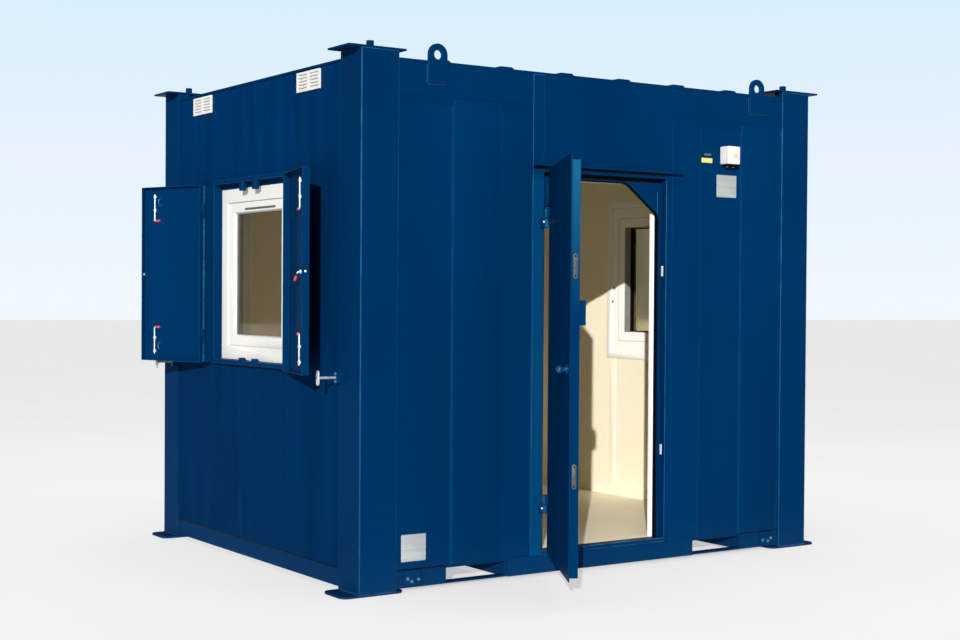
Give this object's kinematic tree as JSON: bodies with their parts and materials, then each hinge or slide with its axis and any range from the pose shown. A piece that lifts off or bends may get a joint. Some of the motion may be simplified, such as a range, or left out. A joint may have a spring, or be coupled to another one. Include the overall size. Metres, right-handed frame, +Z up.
{
  "type": "portable site cabin",
  "caption": "Blue steel portable site cabin with an outward-opening door, shuttered end windows, lined room, fork pockets, lifting eyes and foot plates.",
  "frame": {"origin": "on the ground, under the middle of the front left corner post, at the underside of its foot plate", "axes": "+X along the front from the left end to the right end, +Y from the front with the door to the back, +Z up"},
  "size_m": [3.4724, 3.1843, 2.6968],
  "materials": {
    "blue_steel": "semi-gloss dark blue paint on folded steel sheet",
    "lining_board": "cream vinyl-faced lining board",
    "floor_vinyl": "beige speckled sheet vinyl",
    "white_plastic": "white moulded or extruded PVC",
    "window_glass": "clear sealed glass unit",
    "zinc_steel": "bright zinc plate",
    "chrome_fitting": "polished plate"
  },
  "bodies": {
    "cabin": {"front_left_post": "blue_steel", "front_right_post": "blue_steel", "back_left_post": "blue_steel", "back_right_post": "blue_steel", "foot_plates": "blue_steel", "head_plates": "blue_steel", "front_base_rail": "blue_steel", "back_base_rail": "blue_steel", "end_base_rails": "blue_steel", "fork_pockets": "blue_steel", "floor_joists": "blue_steel", "front_top_rail": "blue_steel", "back_top_rail": "blue_steel", "roof_sheet": "blue_steel", "lifting_eyes": "blue_steel", "front_wall_left": "blue_steel", "front_wall_right": "blue_steel", "front_wall_over_door": "blue_steel", "back_wall": "blue_steel", "left_end_wall": "blue_steel", "right_end_wall": "blue_steel", "door_hinge_jamb": "blue_steel", "door_lock_jamb": "blue_steel", "door_head": "blue_steel", "door_threshold": "blue_steel", "drip_rail": "blue_steel", "window_surrounds": "blue_steel", "shutter_hinges": "blue_steel", "right_shutters": "blue_steel", "ceiling_lining": "lining_board", "front_lining_sides": "lining_board", "front_lining_over_door": "lining_board", "back_lining": "lining_board", "end_linings": "lining_board", "floor_deck": "floor_vinyl", "window_frames": "white_plastic", "air_vents": "white_plastic", "power_inlet_box": "white_plastic", "window_glass": "window_glass", "door_hinges": "zinc_steel", "right_shutter_bolts": "zinc_steel", "shutter_catches": "chrome_fitting"},
    "door": {"door_leaf": "blue_steel", "door_lock_box": "blue_steel", "door_lock_plates": "zinc_steel", "door_knob": "blue_steel"},
    "near_leaf": {"near_shutter": "blue_steel", "near_shutter_bolts": "zinc_steel"},
    "far_leaf": {"far_shutter": "blue_steel", "far_shutter_bolts": "zinc_steel"}
  },
  "joints": [
    {"name": "door_swing", "type": "hinge", "parent": "cabin", "child": "door", "pos_m": [0.98, -0.13, 1.12], "axis": [0, 0, -1], "range_deg": [-119.5, 52.5]},
    {"name": "near_shutter_swing", "type": "hinge", "parent": "cabin", "child": "near_leaf", "pos_m": [-0.156, 0.584, 1.57], "axis": [0, 0, 1], "range_deg": [-164, 3.5]},
    {"name": "far_shutter_swing", "type": "hinge", "parent": "cabin", "child": "far_leaf", "pos_m": [-0.156, 1.604, 1.57], "axis": [0, 0, -1], "range_deg": [-160.5, 6.5]}
  ]
}
